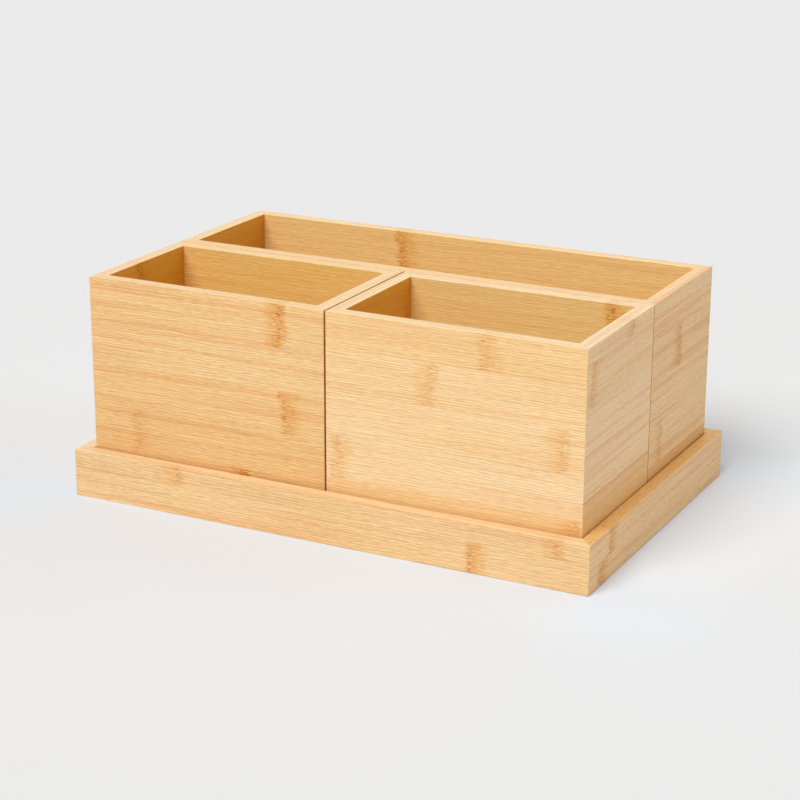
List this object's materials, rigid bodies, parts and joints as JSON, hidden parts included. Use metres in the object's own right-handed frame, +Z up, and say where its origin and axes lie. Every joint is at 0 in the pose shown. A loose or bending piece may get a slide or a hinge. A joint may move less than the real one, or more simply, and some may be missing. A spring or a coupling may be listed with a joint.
{
  "type": "vanity organizer",
  "caption": "Low bamboo tray holding loose open-topped bins of mitred boards, small ones side by side in front of a long one, for sorting toiletries and small items.",
  "frame": {"origin": "under the middle of the tray, on the surface it stands on", "axes": "+X to the right along the long front, +Y from the front to the back, +Z up"},
  "size_m": [0.3, 0.193, 0.1215],
  "materials": {
    "bin_wall_bamboo": "satin, clear-lacquered edge-glued bamboo strip",
    "tray_rail_bamboo": "satin, clear-lacquered edge-glued bamboo strip",
    "floor_panel_bamboo": "satin, clear-lacquered bamboo plywood"
  },
  "bodies": {
    "tray": {"tray_front_rail": "tray_rail_bamboo", "tray_back_rail": "tray_rail_bamboo", "tray_left_rail": "tray_rail_bamboo", "tray_right_rail": "tray_rail_bamboo", "tray_floor_panel": "floor_panel_bamboo"},
    "left_bin": {"left_bin_front_wall": "bin_wall_bamboo", "left_bin_back_wall": "bin_wall_bamboo", "left_bin_left_wall": "bin_wall_bamboo", "left_bin_right_wall": "bin_wall_bamboo", "left_bin_floor_panel": "floor_panel_bamboo"},
    "right_bin": {"right_bin_front_wall": "bin_wall_bamboo", "right_bin_back_wall": "bin_wall_bamboo", "right_bin_left_wall": "bin_wall_bamboo", "right_bin_right_wall": "bin_wall_bamboo", "right_bin_floor_panel": "floor_panel_bamboo"},
    "rear_bin": {"rear_bin_front_wall": "bin_wall_bamboo", "rear_bin_back_wall": "bin_wall_bamboo", "rear_bin_left_wall": "bin_wall_bamboo", "rear_bin_right_wall": "bin_wall_bamboo", "rear_bin_floor_panel": "floor_panel_bamboo"}
  },
  "joints": [
    {"name": "left_bin_lift", "type": "slide", "parent": "tray", "child": "left_bin", "axis": [0, 0, 1], "range_m": [0, 0.12]},
    {"name": "right_bin_lift", "type": "slide", "parent": "tray", "child": "right_bin", "axis": [0, 0, 1], "range_m": [0, 0.12]},
    {"name": "rear_bin_lift", "type": "slide", "parent": "tray", "child": "rear_bin", "axis": [0, 0, 1], "range_m": [0, 0.12]}
  ]
}
